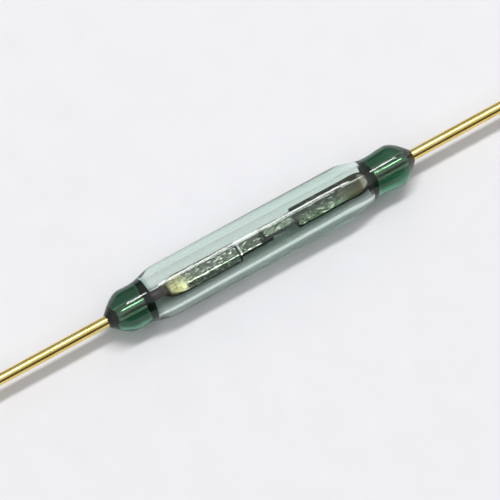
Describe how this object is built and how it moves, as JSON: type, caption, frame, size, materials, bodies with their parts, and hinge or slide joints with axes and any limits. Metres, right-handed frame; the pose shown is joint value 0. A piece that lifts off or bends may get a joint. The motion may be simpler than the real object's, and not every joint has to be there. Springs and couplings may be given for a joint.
{
  "type": "reed switch",
  "caption": "Sealed green glass capsule on straight gold leads. Flat spring blades inside overlap at their tips and close in a magnetic field.",
  "frame": {"origin": "middle of the glass capsule, on the axis of the leads", "axes": "+X along the leads, +Z square to the blade faces, towards the upper blade, whose lead is on +X"},
  "size_m": [0.0446, 0.0022, 0.0022],
  "materials": {
    "green_glass": "clear green sealing glass",
    "gold_lead": "bright gold plate",
    "nickel_iron": "satin, pressed"
  },
  "bodies": {
    "capsule": {"glass_envelope": "green_glass", "left_lead": "gold_lead", "right_lead": "gold_lead"},
    "left_reed": {"left_blade": "nickel_iron"},
    "right_reed": {"right_blade": "nickel_iron"}
  },
  "joints": [
    {"name": "left_flex", "type": "hinge", "parent": "capsule", "child": "left_reed", "pos_m": [-0.00353, 0, -0.00012], "axis": [0, -1, 0], "range_deg": [0, 0.45], "stiffness_Nm_per_rad": 0.00001},
    {"name": "right_flex", "type": "hinge", "parent": "capsule", "child": "right_reed", "pos_m": [0.00401, 0, 0.00012], "axis": [0, -1, 0], "range_deg": [0, 0.45], "stiffness_Nm_per_rad": 0.00001}
  ],
  "couplings": [
    {"joint": "right_flex", "follows": "left_flex", "ratio": 1}
  ]
}
